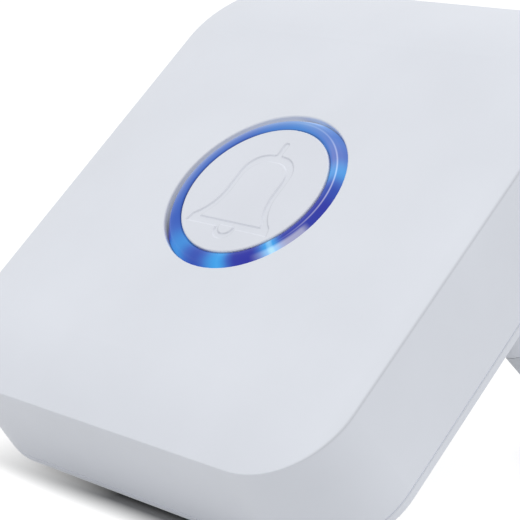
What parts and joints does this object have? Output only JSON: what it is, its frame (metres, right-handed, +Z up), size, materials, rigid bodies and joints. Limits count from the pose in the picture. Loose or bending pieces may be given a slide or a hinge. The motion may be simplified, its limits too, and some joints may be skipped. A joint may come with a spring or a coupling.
{
  "type": "batteryless wireless button",
  "caption": "Square white counter call button, leaning back on rear legs, with a round bell cap in a glowing blue ring; pressing it flips a magnet rocker past a coil to power its radio.",
  "frame": {"origin": "middle of the front foot's rest face, on the counter", "axes": "+Z up, +X to the right as the user sees it, +Y away from the user"},
  "size_m": [0.0822, 0.0827, 0.0706],
  "materials": {
    "white_case": "fine satin moulded white, slightly cool",
    "white_cap": "fine satin moulded white",
    "blue_ring": "clear moulded light guide, lit blue from behind",
    "white_leg": "satin moulded white",
    "dark_rubber": "matt rubber",
    "seal_rubber": "soft matt silicone",
    "screw_steel": "zinc plated",
    "spring_steel": "drawn wire",
    "soft_iron": "stamped sheet, dull plated",
    "magnet_plate": "bright nickel plated",
    "copper": "enamelled copper wire",
    "board_green": "green solder resist on glass laminate",
    "chip_black": "moulded black package",
    "can_metal": "drawn can",
    "lamp_resin": "milky resin",
    "chassis_grey": "moulded dark grey",
    "frame_black": "moulded black, glass filled",
    "bobbin_cream": "moulded natural nylon"
  },
  "bodies": {
    "case": {"front_shell": "white_case", "rear_cover": "white_case", "case_seal": "seal_rubber", "case_screws": "screw_steel", "light_ring": "blue_ring", "return_spring": "spring_steel", "stop_ring": "dark_rubber", "chassis": "chassis_grey", "chassis_screws": "screw_steel", "circuit_board": "board_green", "board_screws": "screw_steel", "ring_leds": "lamp_resin", "radio_chip": "chip_black", "storage_capacitor": "can_metal", "power_parts": "chip_black", "antenna_wire": "copper", "generator_frame": "frame_black", "generator_screws": "screw_steel", "coil_bobbin": "bobbin_cream", "coil_winding": "copper", "coil_leads": "copper", "iron_core": "soft_iron", "flux_yoke": "soft_iron", "rocker_axle": "screw_steel", "right_leg": "white_leg", "left_leg": "white_leg", "leg_screws": "screw_steel", "rear_feet": "dark_rubber", "front_foot": "dark_rubber"},
    "button": {"button_cap": "white_cap", "stem_clip": "spring_steel"},
    "rocker": {"rocker_arm": "bobbin_cream", "magnet": "magnet_plate", "upper_pole_plate": "soft_iron", "lower_pole_plate": "soft_iron"}
  },
  "joints": [
    {"name": "button_press", "type": "slide", "parent": "case", "child": "button", "axis": [0, 0.6266, -0.7793], "range_m": [0, 0.0025], "stiffness_N_per_m": 1200, "springref_m": -0.0017, "deforming": ["return_spring"]},
    {"name": "rocker_flip", "type": "hinge", "parent": "case", "child": "rocker", "pos_m": [0, 0.03809, 0.04288], "axis": [1, 0, 0], "range_deg": [0, 9.56]}
  ],
  "couplings": [
    {"joint": "rocker_flip", "follows": "button_press", "rad_per_m": 66.74}
  ]
}
